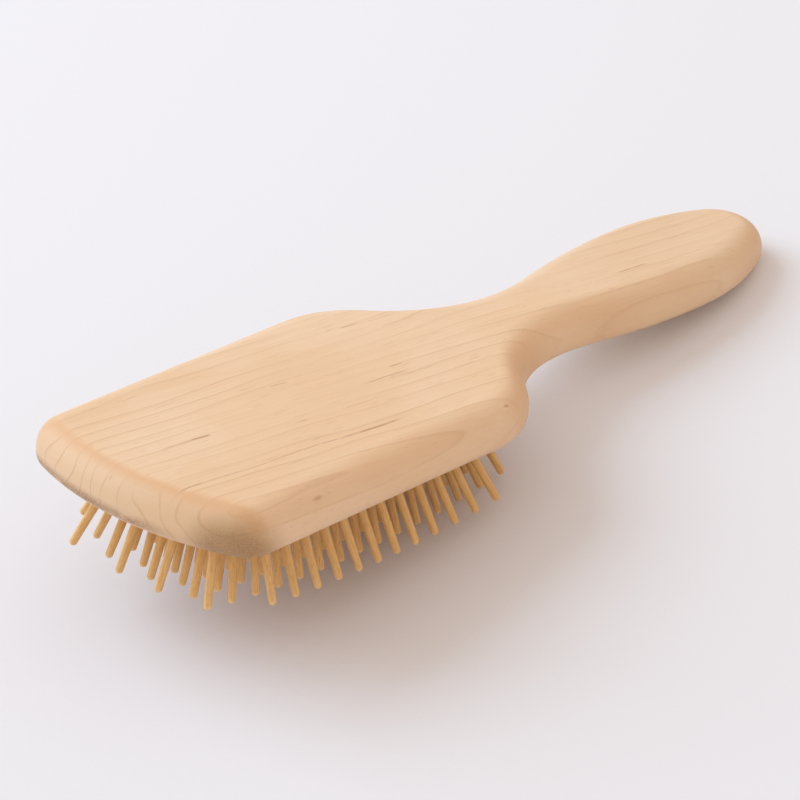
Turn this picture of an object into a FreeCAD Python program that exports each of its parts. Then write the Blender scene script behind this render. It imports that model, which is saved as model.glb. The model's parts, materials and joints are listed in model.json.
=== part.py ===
import FreeCAD, Part
import math
import os

import Sketcher

os.makedirs("parts", exist_ok=True)

# Wooden paddle hair brush: a one-piece maple body, a pneumatic rubber cushion that snaps into a
# routed recess, and cross rows of turned wooden pins whose heads sit behind the rubber.
# The brush is drawn with its pin-side face on z = 0, its back up and its handle along +X. At the
# end every piece is turned the same way, so that the brush lies on its pins and its handle end.

V = FreeCAD.Vector
doc = FreeCAD.newDocument("paddle_brush")

# ---------------------------------------------------------------- driving sizes, mm and degrees
SIZES = [
    # wooden body, seen from the back
    ("overall_length", 240.0, "front of the head to the end of the handle"),
    ("head_half_width", 39.0, "half width of the head where the shoulder begins"),
    ("front_narrowing", 0.2, "how much narrower each side is at the front corner"),
    ("front_crown_radius", 92.0, "bow of the head's front edge"),
    ("head_corner_radius", 10.0, "front corners of the head"),
    ("shoulder_radius", 29.0, "outer curve from the head to the neck"),
    ("neck_radius", 41.5, "inner curve from the shoulder to the neck"),
    ("neck_behind_cushion", 34.3, "rear of the cushion to the narrowest place of the handle"),
    ("neck_half_width", 13.3, "half width there"),
    ("grip_place", 0.586, "widest place of the handle, as a share of neck to handle end"),
    ("grip_half_width", 19.4, "half width there"),
    ("grip_curve_share", 0.746, "share of the side's double curve that bulges outwards"),
    ("handle_end_radius", 13.5, "round end of the handle"),
    # wooden body, seen from the side
    ("body_thickness", 12.8, "head and neck"),
    ("handle_end_rise", 1.2, "how far the underside has risen at the handle's end"),
    ("face_edge_radius", 3.9, "rounding of the pin side's edge"),
    ("side_land", 1.5, "upright band between that rounding and the back's"),
    # recess for the cushion
    ("front_rim", 8.2, "front of the head to the cushion"),
    ("side_rim", 8.0, "side of the head to the cushion"),
    ("back_wall", 2.7, "wood left behind the air space"),
    ("lip_thickness", 1.8, "wood between the face and the bead groove"),
    ("lip_depth", 1.3, "how far the bead groove is cut in behind the lip"),
    ("seat_gap", 0.1, "clearance between the cushion's edge and the wood"),
    # rubber cushion
    ("cushion_length", 107.0, "its length at the face"),
    ("cushion_end_radius", 150.0, "bow of its front and rear edges"),
    ("cushion_corner_radius", 17.0, "its corners"),
    ("rubber_thickness", 1.3, "wall of the cushion"),
    ("bead_height", 2.0, "height of the bead that snaps into the groove"),
    ("crown_height", 5.6, "how far the middle of the dome stands out of the face"),
    ("crown_fall_along", 2.8, "how far the dome falls from its middle to its front and back ends"),
    ("crown_radius_across", 173.0, "curve of the dome across the brush"),
    ("cushion_edge_radius", 2.6, "rounding of the dome's edge"),
    ("vent_radius", 0.75, "breather hole in the middle of the cushion"),
    # wooden pins
    ("pin_rows_each_side", 14, "cross rows before and behind the middle one"),
    ("pin_lines_each_side", 4, "lengthwise lines on each side of the middle one"),
    ("pin_end_margin", 7.2, "cushion's front or rear edge to the first row"),
    ("pin_side_margin", 6.0, "cushion's side edge to the outermost line"),
    ("field_overhang", 1.04, "field's rounded outline as a multiple of its outermost pins"),
    ("field_roundness", 6.0, "exponent of that outline"),
    ("pin_length", 17.2, "cushion's surface to the pin's tip"),
    ("pin_root_radius", 1.22, "shaft where it leaves the rubber"),
    ("pin_tip_radius", 0.98, "shaft at the start of its round tip"),
    ("pin_straight_length", 1.5, "parallel part of the shaft outside the rubber"),
    ("pin_head_overlap", 0.65, "how much wider than the shaft the head behind the rubber is"),
    ("pin_head_height", 1.5, "height of that head"),
    ("pin_head_gap", 1.15, "head to the inside of the rubber, along the pin"),
    ("pin_hole_gap", 0.05, "clearance round the shaft in the rubber"),
    ("pin_splay_along", 25.0, "lean of the first and last rows, degrees"),
    ("pin_splay_across", 29.0, "lean of the outermost lines, degrees"),
    ("pin_splay_growth", 2.0, "power at which the lean grows from the middle outwards"),
]

sheet = doc.addObject("Spreadsheet::Sheet", "size")
for number, (alias, value, note) in enumerate(SIZES, start=1):
    sheet.set(f"A{number}", note)
    sheet.set(f"B{number}", str(value))
    sheet.setAlias(f"B{number}", alias)
doc.recompute()


def size(alias):
    return float(sheet.get(alias))


def work_out(formula):
    """The number that a formula of the sheet's cells comes to."""
    return float(sheet.evalExpression(formula.replace("size.", "")))


# ---------------------------------------------------------------- sizes that follow from others
FRONT_HALF = "(size.head_half_width - size.front_narrowing)"
NECK_X = "(size.front_rim + size.cushion_length + size.neck_behind_cushion)"
GRIP_REACH = f"(size.grip_place * (size.overall_length - {NECK_X}))"
WIDENING = "(size.grip_half_width - size.neck_half_width)"
DOUBLE_CURVE = f"(({GRIP_REACH} ^ 2 + {WIDENING} ^ 2) / (2 * {WIDENING}))"
GRIP_RADIUS = f"(size.grip_curve_share * {DOUBLE_CURVE})"
BACK_EDGE = "(size.body_thickness - size.face_edge_radius - size.side_land)"
CUSHION_HALF_LENGTH = "(size.cushion_length / 2)"
CROWN_RADIUS_ALONG = f"({CUSHION_HALF_LENGTH} ^ 2 / (2 * size.crown_fall_along) + size.crown_fall_along / 2)"
CUSHION_HALF_WIDTH = "(size.head_half_width - size.side_rim)"
CUSHION_MIDDLE = "(size.front_rim + size.cushion_length / 2)"
BEAD_FOOT = "(size.lip_thickness + size.seat_gap)"
BEAD_TOP = "(size.lip_thickness + size.seat_gap + size.bead_height)"


# ---------------------------------------------------------------- small helpers
START, END, MIDDLE = 1, 2, 3
ORIGIN_POINT = (-1, 1)
X_AXIS = -1


def origin_plane(body, role):
    return next(f for f in body.Origin.OriginFeatures if f.Role == role)


def new_body(label):
    body = doc.addObject("PartDesign::Body", label)
    body.Label = label
    return body


def new_sketch(body, name, role="XY_Plane", height=None):
    """A sketch on one of the body's own planes, raised along that plane's normal by a formula."""
    sketch = body.newObject("Sketcher::SketchObject", name)
    sketch.AttachmentSupport = [(origin_plane(body, role), "")]
    sketch.MapMode = "FlatFace"
    if height:
        sketch.setExpression(".AttachmentOffset.Base.z", height)
        doc.recompute()
    return sketch


def bind(sketch, name, formula, kind, *where):
    """Adds a dimension to a sketch and ties it to a formula of the sheet's cells."""
    index = sketch.addConstraint(Sketcher.Constraint(kind, *where, work_out(formula)))
    sketch.renameConstraint(index, name)
    sketch.setExpression(f"Constraints.{name}", formula)


def polar(centre, radius, angle):
    return V(centre.x + radius * math.cos(angle), centre.y + radius * math.sin(angle), 0)


def bearing(start, end):
    return math.atan2(end.y - start.y, end.x - start.x)


def add_arc(sketch, centre, radius, first, last):
    """An arc that runs anticlockwise from the first angle to the last."""
    circle = Part.Circle(centre, V(0, 0, 1), radius)
    return sketch.addGeometry(Part.ArcOfCircle(circle, first, last), False)


def pad(body, sketch, name, length, reverse=False):
    feature = body.newObject("PartDesign::Pad", name)
    feature.Profile = sketch
    feature.setExpression("Length", length)
    feature.Reversed = reverse
    doc.recompute()
    return feature


def pocket(body, sketch, name, length, upward):
    """A pocket that runs up from its sketch or down from it, and must remove wood."""
    before = body.Shape.Volume
    feature = body.newObject("PartDesign::Pocket", name)
    feature.Profile = sketch
    feature.setExpression("Length", length)
    feature.Reversed = upward
    doc.recompute()
    assert feature.Shape.Volume < before - 1, f"{name} cuts nothing"
    return feature


def outer_loop(shape, height, inside):
    """Names of the edges that lie flat at a height, outside a given distance from the X axis line."""
    return [
        f"Edge{i}"
        for i, edge in enumerate(shape.Edges, start=1)
        if edge.BoundBox.ZLength < 1e-4
        and abs(edge.BoundBox.ZMin - height) < 1e-4
        and not inside(edge)
    ]


# ---------------------------------------------------------------- outlines
def draw_body_half(sketch):
    """Half of the body's outline, from the front of the head round to the end of the handle."""
    crown, corner = size("front_crown_radius"), size("head_corner_radius")
    front_half, rear_half = work_out(FRONT_HALF), size("head_half_width")
    shoulder, neck = size("shoulder_radius"), size("neck_radius")
    neck_x, neck_half = work_out(NECK_X), size("neck_half_width")
    reach, widening, grip = work_out(GRIP_REACH), work_out(WIDENING), work_out(GRIP_RADIUS)
    grip_x, grip_half = neck_x + reach, size("grip_half_width")
    end, length = size("handle_end_radius"), size("overall_length")

    neck_centre = V(neck_x, neck_half + neck, 0)
    drop = neck_centre.y - (rear_half - shoulder)
    shoulder_centre = V(neck_x - math.sqrt((shoulder + neck) ** 2 - drop**2), rear_half - shoulder, 0)
    crown_centre = V(crown, 0, 0)
    corner_y = front_half - corner
    corner_centre = V(crown - math.sqrt((crown - corner) ** 2 - corner_y**2), corner_y, 0)
    sweep = work_out(DOUBLE_CURVE) - grip
    sweep_centre = V(neck_x, neck_half + sweep, 0)
    grip_centre = V(grip_x, grip_half - grip, 0)
    tail = length - end - grip_x
    taper = (tail**2 + grip_half**2 - end**2) / (2 * (grip_half - end))
    taper_centre = V(grip_x, grip_half - taper, 0)
    end_centre = V(length - end, 0, 0)

    up, down = math.pi / 2, -math.pi / 2
    crown_angle = bearing(crown_centre, corner_centre)
    shoulder_angle = bearing(shoulder_centre, neck_centre)
    sweep_angle = bearing(sweep_centre, grip_centre)
    taper_angle = bearing(taper_centre, end_centre)

    front_arc = add_arc(sketch, crown_centre, crown, crown_angle, math.pi)
    corner_arc = add_arc(sketch, corner_centre, corner, up, crown_angle)
    side = sketch.addGeometry(
        Part.LineSegment(polar(corner_centre, corner, up), polar(shoulder_centre, shoulder, up)), False
    )
    shoulder_arc = add_arc(sketch, shoulder_centre, shoulder, shoulder_angle, up)
    neck_arc = add_arc(sketch, neck_centre, neck, shoulder_angle - math.pi, down)
    sweep_arc = add_arc(sketch, sweep_centre, sweep, down, sweep_angle)
    grip_arc = add_arc(sketch, grip_centre, grip, up, sweep_angle + math.pi)
    taper_arc = add_arc(sketch, taper_centre, taper, taper_angle, up)
    end_arc = add_arc(sketch, end_centre, end, 0, taper_angle)
    middle_line = sketch.addGeometry(Part.LineSegment(V(length, 0, 0), V(0, 0, 0)), False)

    for first, first_end, second, second_end in (
        (front_arc, START, corner_arc, END),
        (corner_arc, START, side, START),
        (side, END, shoulder_arc, END),
        (shoulder_arc, START, neck_arc, START),
        (neck_arc, END, sweep_arc, START),
        (sweep_arc, END, grip_arc, END),
        (grip_arc, START, taper_arc, END),
        (taper_arc, START, end_arc, END),
    ):
        sketch.addConstraint(Sketcher.Constraint("Tangent", first, first_end, second, second_end))
    sketch.addConstraint(
        [
            Sketcher.Constraint("Coincident", end_arc, START, middle_line, START),
            Sketcher.Constraint("Coincident", middle_line, END, front_arc, END),
            Sketcher.Constraint("Coincident", front_arc, END, *ORIGIN_POINT),
            Sketcher.Constraint("PointOnObject", end_arc, START, X_AXIS),
            Sketcher.Constraint("PointOnObject", front_arc, MIDDLE, X_AXIS),
            Sketcher.Constraint("PointOnObject", end_arc, MIDDLE, X_AXIS),
            Sketcher.Constraint("Vertical", neck_arc, MIDDLE, sweep_arc, MIDDLE),
            Sketcher.Constraint("Vertical", grip_arc, MIDDLE, taper_arc, MIDDLE),
        ]
    )
    for name, arc in (
        ("front_crown_radius", front_arc),
        ("head_corner_radius", corner_arc),
        ("shoulder_radius", shoulder_arc),
        ("neck_radius", neck_arc),
        ("handle_end_radius", end_arc),
    ):
        bind(sketch, name, f"size.{name}", "Radius", arc)
    bind(sketch, "grip_radius", GRIP_RADIUS, "Radius", grip_arc)
    bind(sketch, "front_half", FRONT_HALF, "DistanceY", *ORIGIN_POINT, side, START)
    bind(sketch, "rear_half", "size.head_half_width", "DistanceY", *ORIGIN_POINT, side, END)
    bind(sketch, "neck_x", NECK_X, "DistanceX", *ORIGIN_POINT, neck_arc, MIDDLE)
    bind(
        sketch, "neck_y", "size.neck_half_width + size.neck_radius",
        "DistanceY", *ORIGIN_POINT, neck_arc, MIDDLE,
    )
    grip_x_formula = f"{NECK_X} + {GRIP_REACH}"
    bind(sketch, "grip_x", grip_x_formula, "DistanceX", *ORIGIN_POINT, grip_arc, MIDDLE)
    grip_y_formula = f"{GRIP_RADIUS} - size.grip_half_width"
    bind(sketch, "grip_y", grip_y_formula, "DistanceY", grip_arc, MIDDLE, *ORIGIN_POINT)
    bind(
        sketch, "end_x", "size.overall_length - size.handle_end_radius",
        "DistanceX", *ORIGIN_POINT, end_arc, MIDDLE,
    )
    doc.recompute()


def draw_cushion_outline(sketch, grow):
    """The cushion's outline at the face, grown outwards by a formula of the sheet's cells."""
    extra = work_out(grow)
    middle, half_long = work_out(CUSHION_MIDDLE), work_out(CUSHION_HALF_LENGTH) + extra
    half_wide = work_out(CUSHION_HALF_WIDTH) + extra
    bow, corner = size("cushion_end_radius") + extra, size("cushion_corner_radius") + extra
    corner_y = half_wide - corner
    inset = math.sqrt((bow - corner) ** 2 - corner_y**2)
    up = math.pi / 2

    sides, corners, ends = {}, {}, {}
    for across in (1, -1):
        for along in (1, -1):
            centre = V(middle + along * (half_long - bow + inset), across * corner_y, 0)
            bow_centre = V(middle + along * (half_long - bow), 0, 0)
            slant = bearing(bow_centre, centre)
            flat = across * up
            first, last = (slant, flat) if across * along > 0 else (flat, slant)
            corners[across, along] = add_arc(sketch, centre, corner, first, last)
        front, rear = (middle + along * (half_long - bow + inset) for along in (-1, 1))
        y = across * half_wide
        sides[across] = sketch.addGeometry(Part.LineSegment(V(front, y, 0), V(rear, y, 0)), False)
    for along in (1, -1):
        centre = V(middle + along * (half_long - bow), 0, 0)
        spread = math.atan2(corner_y, inset)
        facing = 0 if along > 0 else math.pi
        ends[along] = add_arc(sketch, centre, bow, facing - spread, facing + spread)
    for across in (1, -1):
        for along in (1, -1):
            arc = corners[across, along]
            meets_end, meets_side = (START, END) if across * along > 0 else (END, START)
            end_tip = END if across * along > 0 else START
            side_tip = END if along > 0 else START
            sketch.addConstraint(Sketcher.Constraint("Tangent", arc, meets_end, ends[along], end_tip))
            sketch.addConstraint(Sketcher.Constraint("Tangent", arc, meets_side, sides[across], side_tip))
    for across in (1, -1):
        sketch.addConstraint(Sketcher.Constraint("Horizontal", sides[across]))
        sketch.addConstraint(Sketcher.Constraint("PointOnObject", ends[across], MIDDLE, X_AXIS))
    for index, arc in enumerate(corners.values()):
        bind(sketch, f"corner_{index}", f"size.cushion_corner_radius + {grow}", "Radius", arc)
    for along, name in ((1, "rear"), (-1, "front")):
        bind(sketch, f"{name}_bow", f"size.cushion_end_radius + {grow}", "Radius", ends[along])
    width = f"{CUSHION_HALF_WIDTH} + {grow}"
    bind(sketch, "left_side", width, "DistanceY", *ORIGIN_POINT, sides[1], START)
    bind(sketch, "right_side", width, "DistanceY", sides[-1], START, *ORIGIN_POINT)
    to_bow = f"size.cushion_end_radius - {CUSHION_HALF_LENGTH}"
    front_formula = f"{CUSHION_MIDDLE} + {to_bow}"
    bind(sketch, "front_bow_x", front_formula, "DistanceX", *ORIGIN_POINT, ends[-1], MIDDLE)
    rear_formula = f"{to_bow} - {CUSHION_MIDDLE}"
    bind(sketch, "rear_bow_x", rear_formula, "DistanceX", ends[1], MIDDLE, *ORIGIN_POINT)
    doc.recompute()


# ---------------------------------------------------------------- wooden body
def make_wooden_body():
    body = new_body("wooden_body")
    outline = new_sketch(body, "body_outline")
    draw_body_half(outline)
    half = pad(body, outline, "body_half", "size.body_thickness")

    # the handle's underside rises towards its end along one long arc, tangent to the face
    rise = new_sketch(body, "underside_rise", "XZ_Plane")
    start, high = work_out(NECK_X), size("handle_end_rise")
    length = size("overall_length")
    run = length - start
    radius = (run**2 + high**2) / (2 * high)
    top = math.atan2(high - radius, run)
    arc = add_arc(rise, V(start, radius, 0), radius, -math.pi / 2, top)
    stem = rise.addGeometry(Part.LineSegment(V(length, high, 0), V(length, 0, 0)), False)
    floor = rise.addGeometry(Part.LineSegment(V(length, 0, 0), V(start, 0, 0)), False)
    rise.addConstraint(
        [
            Sketcher.Constraint("Coincident", arc, END, stem, START),
            Sketcher.Constraint("Coincident", stem, END, floor, START),
            Sketcher.Constraint("Tangent", floor, END, arc, START),
            Sketcher.Constraint("PointOnObject", floor, START, X_AXIS),
            Sketcher.Constraint("PointOnObject", floor, END, X_AXIS),
            Sketcher.Constraint("Vertical", stem),
        ]
    )
    bind(rise, "rise_from", NECK_X, "DistanceX", *ORIGIN_POINT, floor, END)
    bind(rise, "rise_to", "size.overall_length", "DistanceX", *ORIGIN_POINT, floor, START)
    bind(rise, "rise_high", "size.handle_end_rise", "DistanceY", stem, END, stem, START)
    doc.recompute()
    scoop = body.newObject("PartDesign::Pocket", "underside_scoop")
    scoop.Profile = rise
    scoop.Type = 1
    scoop.Midplane = True
    doc.recompute()
    assert scoop.Shape.Volume < half.Shape.Volume - 1, "the underside is not cut"

    mirror = body.newObject("PartDesign::Mirrored", "body_mirror")
    mirror.Originals = [half, scoop]
    mirror.MirrorPlane = (origin_plane(body, "XZ_Plane"), [""])
    body.Tip = mirror
    doc.recompute()

    thickness = size("body_thickness")
    back = body.newObject("PartDesign::Fillet", "back_edge")
    back.Base = (mirror, outer_loop(mirror.Shape, thickness, lambda edge: False))
    back.setExpression("Radius", BACK_EDGE)
    doc.recompute()

    def lies_on_face(edge):
        box = edge.BoundBox
        across_middle = box.XLength < 1e-4 and box.YMin < 0 < box.YMax
        return box.ZMax <= high + 1e-3 and not across_middle

    face_edges = [f"Edge{i}" for i, e in enumerate(back.Shape.Edges, start=1) if lies_on_face(e)]
    face = body.newObject("PartDesign::Fillet", "face_edge")
    face.Base = (back, face_edges)
    face.setExpression("Radius", "size.face_edge_radius")
    doc.recompute()

    mouth = new_sketch(body, "recess_mouth")
    draw_cushion_outline(mouth, "size.seat_gap")
    pocket(body, mouth, "recess", "size.body_thickness - size.back_wall", upward=True)
    groove = new_sketch(body, "groove_outline", height="size.lip_thickness")
    draw_cushion_outline(groove, "(size.lip_depth + size.seat_gap)")
    pocket(body, groove, "bead_groove", "size.bead_height + 2 * size.seat_gap", upward=True)
    return body


# ---------------------------------------------------------------- rubber cushion
def make_dome(label, shrink):
    """The cushion's outline, closed below by the domed surface, all moved inwards by a formula."""
    block = new_body(f"{label}_block")
    top = f"{BEAD_TOP} + {shrink}"
    outline = new_sketch(block, f"{label}_outline", height=top)
    draw_cushion_outline(outline, f"(0 - {shrink})")
    pad(block, outline, f"{label}_pad", f"{top} + 2 * size.crown_height", reverse=True)

    # the outer side of a large ring whose axis runs across the brush gives the double curve
    ring = doc.addObject("Part::Torus", f"{label}_ring")
    ring.setExpression("Radius1", f"{CROWN_RADIUS_ALONG} - size.crown_radius_across")
    ring.setExpression("Radius2", f"size.crown_radius_across - {shrink}")
    ring.Placement = FreeCAD.Placement(V(0, 0, 0), FreeCAD.Rotation(V(1, 0, 0), 90))
    ring.setExpression("Placement.Base.x", CUSHION_MIDDLE)
    ring.setExpression("Placement.Base.z", f"{CROWN_RADIUS_ALONG} - size.crown_height")
    doc.recompute()

    domed = doc.addObject("Part::Common", f"{label}_domed")
    domed.Base, domed.Tool = block, ring
    doc.recompute()

    rounded = doc.addObject("Part::Fillet", f"{label}_rounded")
    rounded.Base = domed
    radius = size("cushion_edge_radius") - work_out(shrink)
    highest = domed.Shape.BoundBox.ZMax
    rim = [
        (i, radius, radius)
        for i, edge in enumerate(domed.Shape.Edges, start=1)
        if edge.BoundBox.ZMax < 0 and edge.BoundBox.ZMin < highest - 1
    ]
    rounded.Edges = rim
    doc.recompute()
    return rounded


def make_cushion(holes):
    outer = make_dome("cushion_outside", "0 * size.rubber_thickness")
    inner = make_dome("cushion_inside", "size.rubber_thickness")
    bead = new_body("cushion_bead")
    outline = new_sketch(bead, "bead_outline", height=BEAD_FOOT)
    draw_cushion_outline(outline, "size.lip_depth")
    pad(bead, outline, "bead_pad", "size.bead_height")

    solid = doc.addObject("Part::Fuse", "cushion_solid")
    solid.Base, solid.Tool = outer, bead
    shell = doc.addObject("Part::Cut", "cushion_shell")
    shell.Base, shell.Tool = solid, inner
    doc.recompute()
    cushion = doc.addObject("Part::Cut", "air_cushion")
    cushion.Label = "air_cushion"
    cushion.Base, cushion.Tool = shell, holes
    doc.recompute()
    return cushion


# ---------------------------------------------------------------- wooden pins
def dome_height(along, across):
    """Height of the dome's surface at a place measured from the cushion's middle."""
    long_radius, cross_radius = work_out(CROWN_RADIUS_ALONG), size("crown_radius_across")
    ring = long_radius - cross_radius
    reach = ring + math.sqrt(cross_radius**2 - across**2)
    return long_radius - size("crown_height") - math.sqrt(reach**2 - along**2)


def pin_rows():
    """Cross rows from front to rear: each a list of (along, across) places from the middle."""
    last, lines = int(size("pin_rows_each_side")), int(size("pin_lines_each_side"))
    step_along = (work_out(CUSHION_HALF_LENGTH) - size("pin_end_margin")) / last
    step_across = (work_out(CUSHION_HALF_WIDTH) - size("pin_side_margin")) / lines
    overhang, power = size("field_overhang"), size("field_roundness")

    def kept(i, j):
        staggered = (i + j + last + lines) % 2 == 1
        reach = (abs(i) / (overhang * last)) ** power + (abs(j) / (overhang * lines)) ** power
        return staggered and reach <= 1

    return [
        [(i * step_along, j * step_across) for j in range(-lines, lines + 1) if kept(i, j)]
        for i in range(-last, last + 1)
    ]


def pin_placement(along, across):
    """Where a pin leaves the rubber, and the turn that points it out of the dome."""
    outermost = work_out(CUSHION_HALF_LENGTH) - size("pin_end_margin")
    side_most = work_out(CUSHION_HALF_WIDTH) - size("pin_side_margin")
    growth = size("pin_splay_growth")

    def lean(share, degrees):
        return math.copysign(abs(share) ** growth, share) * math.tan(math.radians(degrees))

    lean_along = lean(along / outermost, size("pin_splay_along"))
    lean_across = lean(across / side_most, size("pin_splay_across"))
    place = V(work_out(CUSHION_MIDDLE) + along, across, dome_height(along, across))
    return FreeCAD.Placement(place, FreeCAD.Rotation(V(0, 0, -1), V(lean_along, lean_across, -1)))


def make_pin():
    """One pin, turned about its own axis, its tip down and the rubber's surface at its origin."""
    pin = new_body("single_pin")
    profile = new_sketch(pin, "pin_profile", "XZ_Plane")
    root, tip = size("pin_root_radius"), size("pin_tip_radius")
    straight, length = size("pin_straight_length"), size("pin_length")
    head, head_height = root + size("pin_head_overlap"), size("pin_head_height")
    seat = size("rubber_thickness") + size("pin_head_gap")
    points = [
        V(0, seat + head_height, 0),
        V(head, seat + head_height, 0),
        V(head, seat, 0),
        V(root, seat, 0),
        V(root, -straight, 0),
        V(tip, tip - length, 0),
    ]
    lines = [
        profile.addGeometry(Part.LineSegment(a, b), False) for a, b in zip(points, points[1:])
    ]
    cap, rim, ledge, shaft, cone = lines
    round_tip = add_arc(profile, V(0, tip - length, 0), tip, -math.pi / 2, 0)
    axis = profile.addGeometry(Part.LineSegment(V(0, -length, 0), points[0]), False)
    joined = list(zip(lines, lines[1:]))
    for first, second in joined:
        profile.addConstraint(Sketcher.Constraint("Coincident", first, END, second, START))
    profile.addConstraint(
        [
            Sketcher.Constraint("Coincident", cone, END, round_tip, END),
            Sketcher.Constraint("Coincident", round_tip, START, axis, START),
            Sketcher.Constraint("Coincident", axis, END, cap, START),
            Sketcher.Constraint("PointOnObject", axis, START, -2),
            Sketcher.Constraint("PointOnObject", axis, END, -2),
            Sketcher.Constraint("PointOnObject", round_tip, MIDDLE, -2),
            Sketcher.Constraint("Horizontal", cap),
            Sketcher.Constraint("Vertical", rim),
            Sketcher.Constraint("Horizontal", ledge),
            Sketcher.Constraint("Vertical", shaft),
            Sketcher.Constraint("Horizontal", round_tip, MIDDLE, round_tip, END),
        ]
    )
    seat_at = "size.rubber_thickness + size.pin_head_gap"
    bind(profile, "tip_radius", "size.pin_tip_radius", "Radius", round_tip)
    bind(profile, "root_radius", "size.pin_root_radius", "DistanceX", *ORIGIN_POINT, shaft, START)
    head_formula = "size.pin_root_radius + size.pin_head_overlap"
    bind(profile, "head_radius", head_formula, "DistanceX", *ORIGIN_POINT, rim, START)
    bind(profile, "head_foot", seat_at, "DistanceY", *ORIGIN_POINT, ledge, START)
    bind(profile, "head_height", "size.pin_head_height", "DistanceY", rim, END, rim, START)
    bind(profile, "straight", "size.pin_straight_length", "DistanceY", shaft, END, *ORIGIN_POINT)
    bind(profile, "length", "size.pin_length", "DistanceY", axis, START, *ORIGIN_POINT)
    doc.recompute()
    turned = pin.newObject("PartDesign::Revolution", "pin_turned")
    turned.Profile = profile
    turned.ReferenceAxis = (profile, ["V_Axis"])
    turned.Angle = 360
    doc.recompute()
    return pin


def make_pin_holes(rows):
    """Cutters for the holes that the pins pass through, and for the breather hole."""
    radius = size("pin_root_radius") + size("pin_hole_gap")
    reach = size("rubber_thickness") + size("pin_head_gap") + size("pin_root_radius")
    cutters = []
    for row in rows:
        for along, across in row:
            cutter = Part.makeCylinder(radius, 2 * reach + size("rubber_thickness"), V(0, 0, -reach))
            cutter.Placement = pin_placement(along, across).multiply(cutter.Placement)
            cutters.append(cutter)
    vent_at = V(work_out(CUSHION_MIDDLE), 0, -2 * size("crown_height"))
    cutters.append(Part.makeCylinder(size("vent_radius"), 2 * size("crown_height"), vent_at))
    holes = doc.addObject("Part::Feature", "pin_holes")
    holes.Shape = Part.makeCompound(cutters)
    return holes


def make_pin_row(number, row, pin):
    shapes = []
    for along, across in row:
        shape = pin.Shape.copy()
        shape.Placement = pin_placement(along, across)
        shapes.append(shape)
    feature = doc.addObject("Part::Feature", f"pin_row_{number:02d}")
    feature.Label = f"pin_row_{number:02d}"
    feature.Shape = Part.makeCompound(shapes)
    return feature


# ---------------------------------------------------------------- resting place
def resting_angle(rows):
    """Tilt at which the handle's end and the pins nearest to it touch one flat surface."""
    end_radius = size("face_edge_radius")
    run = size("overall_length") - work_out(NECK_X)
    rise = size("handle_end_rise") * ((run - end_radius) / run) ** 2
    handle = V(size("overall_length") - end_radius, 0, rise + end_radius)
    tip_radius = size("pin_tip_radius")
    to_tip = V(0, 0, tip_radius - size("pin_length"))
    angles = []
    for row in rows:
        for along, across in row:
            tip = pin_placement(along, across).multVec(to_tip)
            dx, dz = handle.x - tip.x, handle.z - tip.z
            span = math.hypot(dx, dz)
            angles.append(math.acos((end_radius - tip_radius) / span) - math.atan2(dx, dz))
    return math.degrees(max(angles))


rows = pin_rows()
wooden_body = make_wooden_body()
air_cushion = make_cushion(make_pin_holes(rows))
single_pin = make_pin()
pin_row_parts = [make_pin_row(number, row, single_pin) for number, row in enumerate(rows, start=1)]
pieces = [wooden_body, air_cushion] + pin_row_parts

tilt = FreeCAD.Rotation(V(0, 1, 0), resting_angle(rows))
laid = Part.makeCompound([piece.Shape for piece in pieces])
laid.Placement = FreeCAD.Placement(V(0, 0, 0), tilt)
box = laid.optimalBoundingBox(False, False)
lift = FreeCAD.Placement(V(-(box.XMin + box.XMax) / 2, 0, -box.ZMin), tilt)
for piece in pieces:
    piece.Placement = lift.multiply(piece.Placement)
doc.recompute()

for thing in doc.Objects:
    assert not {"Invalid", "Error"} & set(thing.State), f"{thing.Label}: {thing.State}"
for piece in pieces:
    shape = piece.Shape
    assert not shape.isNull() and shape.isValid() and shape.Solids, f"{piece.Label} is not sound"
for piece in pieces:
    piece.Shape.exportStep(f"parts/{piece.Label}.step")

pins = sum(len(row) for row in rows)
print(f"{len(pieces)} nodes, {pins} pins in {len(rows)} rows, tilt {math.degrees(tilt.Angle):.3f} degrees")
print(f"box {box.XLength:.2f} x {box.YLength:.2f} x {box.ZLength:.2f} mm")
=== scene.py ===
import bpy, bmesh, json, math
import numpy as np
from mathutils import Matrix, Vector


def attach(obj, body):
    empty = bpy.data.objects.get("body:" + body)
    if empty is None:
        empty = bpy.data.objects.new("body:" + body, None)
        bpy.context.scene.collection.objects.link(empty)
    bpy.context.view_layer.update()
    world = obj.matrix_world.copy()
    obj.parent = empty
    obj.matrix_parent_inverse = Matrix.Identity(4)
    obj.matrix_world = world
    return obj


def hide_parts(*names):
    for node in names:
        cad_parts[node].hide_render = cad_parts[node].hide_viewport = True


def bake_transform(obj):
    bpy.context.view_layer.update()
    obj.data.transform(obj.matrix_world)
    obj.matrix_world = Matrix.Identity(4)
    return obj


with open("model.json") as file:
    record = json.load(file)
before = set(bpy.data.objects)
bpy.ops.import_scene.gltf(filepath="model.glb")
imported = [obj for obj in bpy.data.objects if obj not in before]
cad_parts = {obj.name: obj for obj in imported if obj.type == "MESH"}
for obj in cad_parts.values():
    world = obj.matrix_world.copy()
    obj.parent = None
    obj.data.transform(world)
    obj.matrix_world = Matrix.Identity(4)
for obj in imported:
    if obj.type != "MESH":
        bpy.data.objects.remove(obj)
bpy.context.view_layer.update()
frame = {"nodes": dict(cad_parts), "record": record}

mm = 0.001

# the brush is described lying flat, in millimetres: pin side on z = 0, front of the head at x = 0,
# handle along x. brushToRoom then lays it on its pins and its handle end, as the record's back face says
brush = dict(thickness=12.8, cushionMiddle=61.7, cushionHalfLength=53.5, cushionHalfWidth=31.0)

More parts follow.
